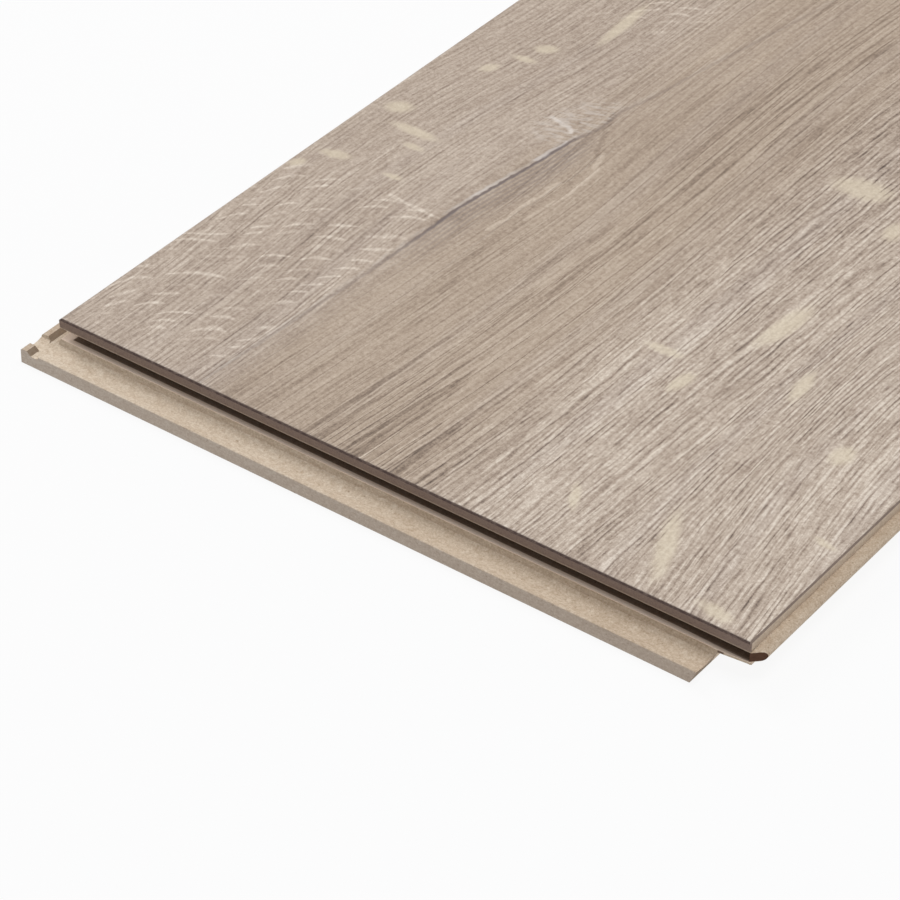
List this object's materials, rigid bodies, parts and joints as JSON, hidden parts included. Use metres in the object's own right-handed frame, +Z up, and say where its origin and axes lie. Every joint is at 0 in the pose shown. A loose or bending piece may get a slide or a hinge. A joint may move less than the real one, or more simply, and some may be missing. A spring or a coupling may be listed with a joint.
{
  "type": "laminate floor plank",
  "caption": "Flat laminate floor plank with an oak decor face and milled click edges: grooves with a lower lip on one long side and one end, tongues on the other long side and end.",
  "frame": {"origin": "on the underside, below the middle of the decor face", "axes": "+X across the plank towards the tongue long side, +Y along it towards the tongue end, +Z up through the decor face"},
  "size_m": [0.1623, 1.39, 0.008],
  "materials": {
    "fibreboard": "milled high-density fibreboard, matt",
    "oak_decor": "pressed oak decor under a satin wear layer, dark resin edge"
  },
  "bodies": {
    "root": {"hdf_core": "fibreboard", "decor_layer": "oak_decor"}
  },
  "joints": []
}
